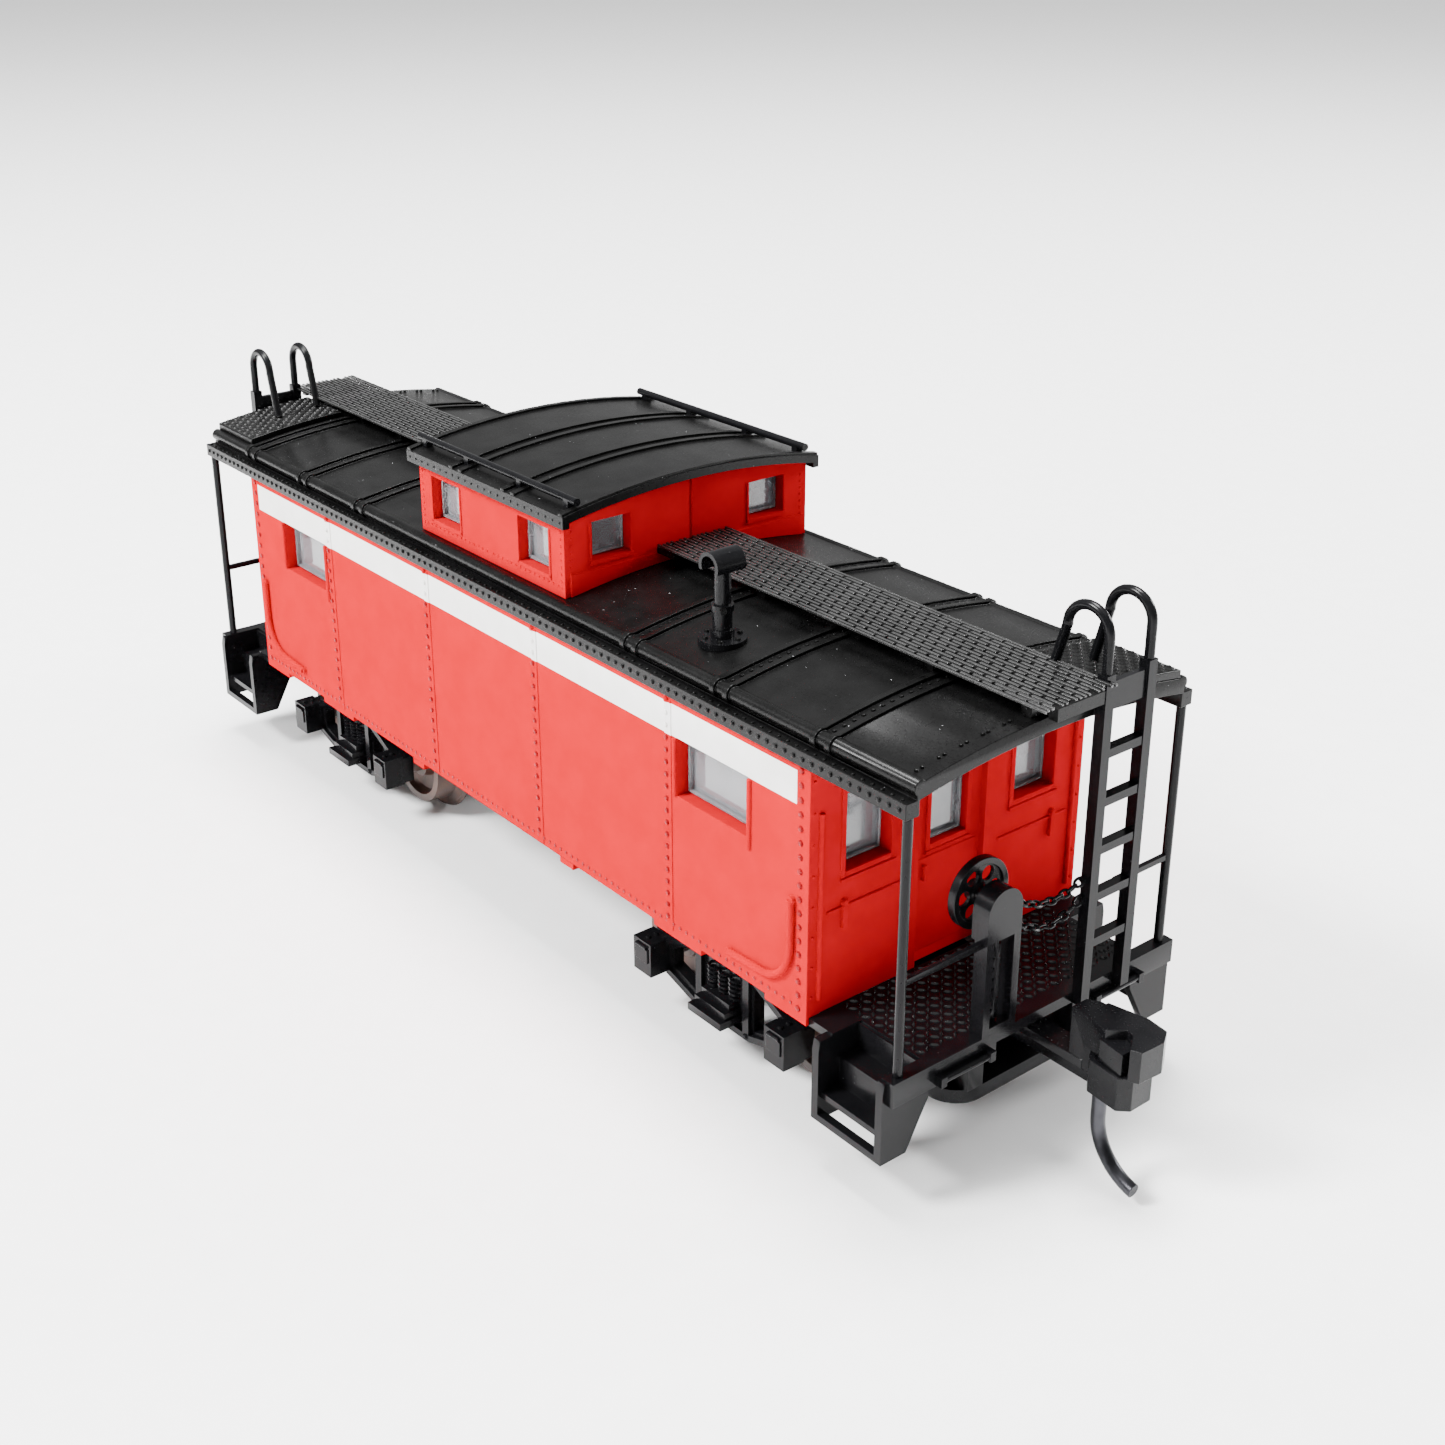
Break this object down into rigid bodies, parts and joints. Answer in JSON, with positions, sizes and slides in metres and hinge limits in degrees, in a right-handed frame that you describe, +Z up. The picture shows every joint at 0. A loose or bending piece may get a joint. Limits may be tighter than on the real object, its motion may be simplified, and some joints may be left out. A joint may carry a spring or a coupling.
{
  "type": "model railway caboose",
  "caption": "Small-scale railway caboose with a cupola, end platforms, roof ladders and couplers, rolling on swivelling trucks.",
  "frame": {"origin": "on the ground under the middle of the car, at the bottoms of the wheel flanges", "axes": "+X along the car towards end A, +Y across the car to the left of someone facing end A, +Z up"},
  "size_m": [0.0768, 0.0188, 0.0258],
  "materials": {
    "red_body": "satin",
    "black_fittings": "satin",
    "coupler_black": "gloss",
    "blackened_steel": "satin",
    "brown_wheels": "matte",
    "clear_windows": "clear",
    "steel_weight": "rolled"
  },
  "bodies": {
    "car_body": {"body_shell": "red_body", "roof": "black_fittings", "cupola_shell": "red_body", "cupola_roof": "black_fittings", "side_glazing_left": "clear_windows", "side_glazing_right": "clear_windows", "end_glazing_a": "clear_windows", "end_glazing_b": "clear_windows", "cupola_glazing": "clear_windows", "running_board_a": "black_fittings", "running_board_b": "black_fittings", "corner_walk_a": "black_fittings", "corner_walk_b": "black_fittings", "cupola_rail_left": "black_fittings", "cupola_rail_right": "black_fittings", "smoke_jack": "black_fittings", "floor_frame": "black_fittings", "ballast_weight": "steel_weight", "kingpin_a": "black_fittings", "kingpin_b": "black_fittings", "end_platform_a": "black_fittings", "end_platform_b": "black_fittings", "railing_a_left": "black_fittings", "railing_a_right": "black_fittings", "railing_b_left": "black_fittings", "railing_b_right": "black_fittings", "ladder_a": "black_fittings", "ladder_b": "black_fittings", "brake_stand_a": "black_fittings", "brake_stand_b": "black_fittings", "brake_wheel_a": "black_fittings", "brake_wheel_b": "black_fittings", "safety_chains_a": "black_fittings", "safety_chains_b": "black_fittings", "uncoupling_rods_a": "black_fittings", "uncoupling_rods_b": "black_fittings"},
    "truck_a": {"truck_frame_a": "black_fittings", "coupler_lid_a": "black_fittings", "coupler_spring_a": "blackened_steel"},
    "wheels_a_outer": {"wheelset_a_outer": "brown_wheels"},
    "wheels_a_inner": {"wheelset_a_inner": "brown_wheels"},
    "coupler_a": {"coupler_head_a": "coupler_black"},
    "knuckle_a": {"coupler_knuckle_a": "coupler_black", "trip_pin_a": "blackened_steel"},
    "truck_b": {"truck_frame_b": "black_fittings", "coupler_lid_b": "black_fittings", "coupler_spring_b": "blackened_steel"},
    "wheels_b_outer": {"wheelset_b_outer": "brown_wheels"},
    "wheels_b_inner": {"wheelset_b_inner": "brown_wheels"},
    "coupler_b": {"coupler_head_b": "coupler_black"},
    "knuckle_b": {"coupler_knuckle_b": "coupler_black", "trip_pin_b": "blackened_steel"}
  },
  "joints": [
    {"name": "truck_a_swivel", "type": "hinge", "parent": "car_body", "child": "truck_a", "pos_m": [0.0182, 0, 0.005], "axis": [0, 0, 1], "range_deg": [-7, 7]},
    {"name": "wheels_a_outer_spin", "type": "hinge", "parent": "truck_a", "child": "wheels_a_outer", "pos_m": [0.02325, 0, 0.0033], "axis": [0, 1, 0], "continuous": true},
    {"name": "wheels_a_inner_spin", "type": "hinge", "parent": "truck_a", "child": "wheels_a_inner", "pos_m": [0.01315, 0, 0.0033], "axis": [0, 1, 0], "continuous": true},
    {"name": "coupler_a_swing", "type": "hinge", "parent": "truck_a", "child": "coupler_a", "pos_m": [0.027, 0, 0.0055], "axis": [0, 0, 1], "range_deg": [-3, 3]},
    {"name": "knuckle_a_open", "type": "hinge", "parent": "coupler_a", "child": "knuckle_a", "pos_m": [0.027, 0, 0.005], "axis": [0, 0, 1], "range_deg": [-5, 0]},
    {"name": "truck_b_swivel", "type": "hinge", "parent": "car_body", "child": "truck_b", "pos_m": [-0.0182, 0, 0.005], "axis": [0, 0, 1], "range_deg": [-7, 7]},
    {"name": "wheels_b_outer_spin", "type": "hinge", "parent": "truck_b", "child": "wheels_b_outer", "pos_m": [-0.02325, 0, 0.0033], "axis": [0, 1, 0], "continuous": true},
    {"name": "wheels_b_inner_spin", "type": "hinge", "parent": "truck_b", "child": "wheels_b_inner", "pos_m": [-0.01315, 0, 0.0033], "axis": [0, 1, 0], "continuous": true},
    {"name": "coupler_b_swing", "type": "hinge", "parent": "truck_b", "child": "coupler_b", "pos_m": [-0.027, 0, 0.0055], "axis": [0, 0, 1], "range_deg": [-3, 3]},
    {"name": "knuckle_b_open", "type": "hinge", "parent": "coupler_b", "child": "knuckle_b", "pos_m": [-0.027, 0, 0.005], "axis": [0, 0, 1], "range_deg": [-5, 0]}
  ]
}
